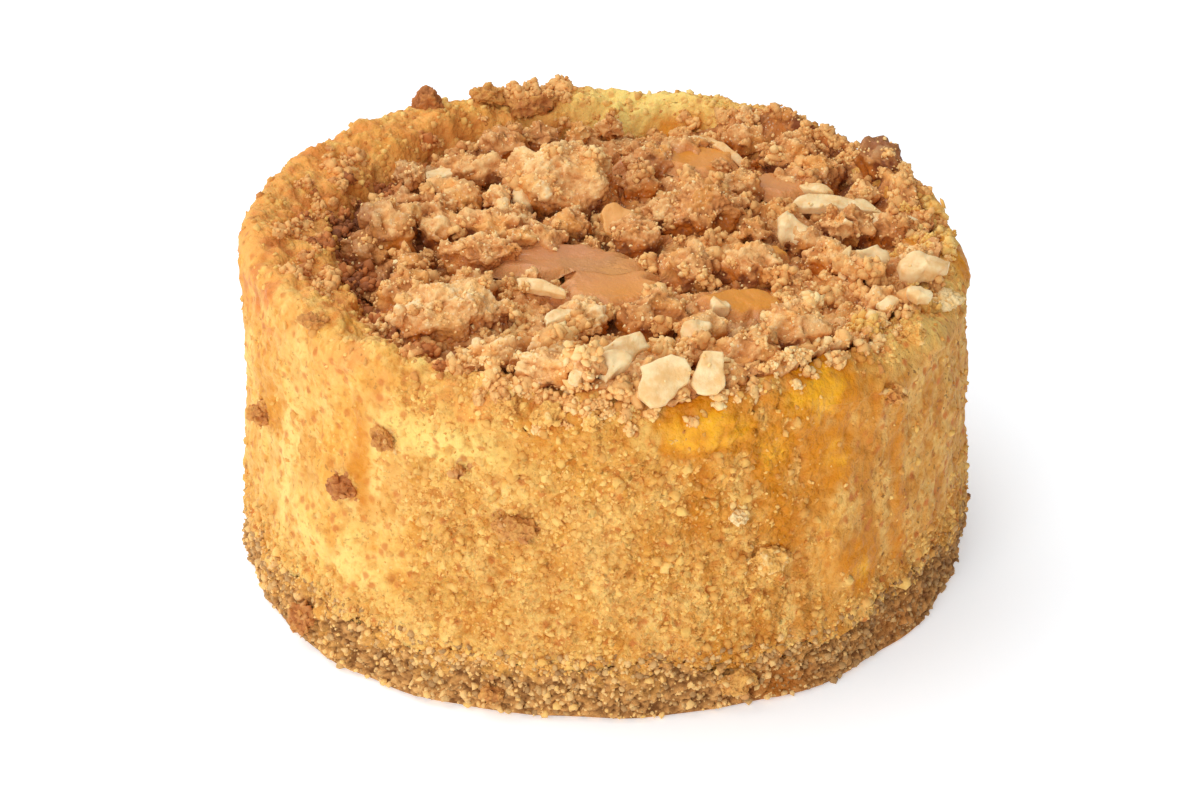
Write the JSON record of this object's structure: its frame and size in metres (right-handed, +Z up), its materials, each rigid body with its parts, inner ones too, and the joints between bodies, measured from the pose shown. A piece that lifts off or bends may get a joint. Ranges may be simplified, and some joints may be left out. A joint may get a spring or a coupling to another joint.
{
  "type": "apple cheesecake",
  "caption": "Small round baked cheesecake with a biscuit layer, a raised custard rim and a nutty apple crumble in the dip on top.",
  "frame": {"origin": "middle of the flat underside, where the cheesecake rests", "axes": "+Z up through the middle of the cake, -Y towards the side that the picture shows, +X to its right"},
  "size_m": [0.0812, 0.0807, 0.0418],
  "materials": {
    "biscuit": "matte, baked biscuit crumb",
    "custard": "satin, baked custard with a fine crumb coat",
    "crumble": "matte sugared crumble with glossy caramel"
  },
  "bodies": {
    "root": {"biscuit_base": "biscuit", "cheesecake": "custard", "crumble_topping": "crumble"}
  },
  "joints": []
}
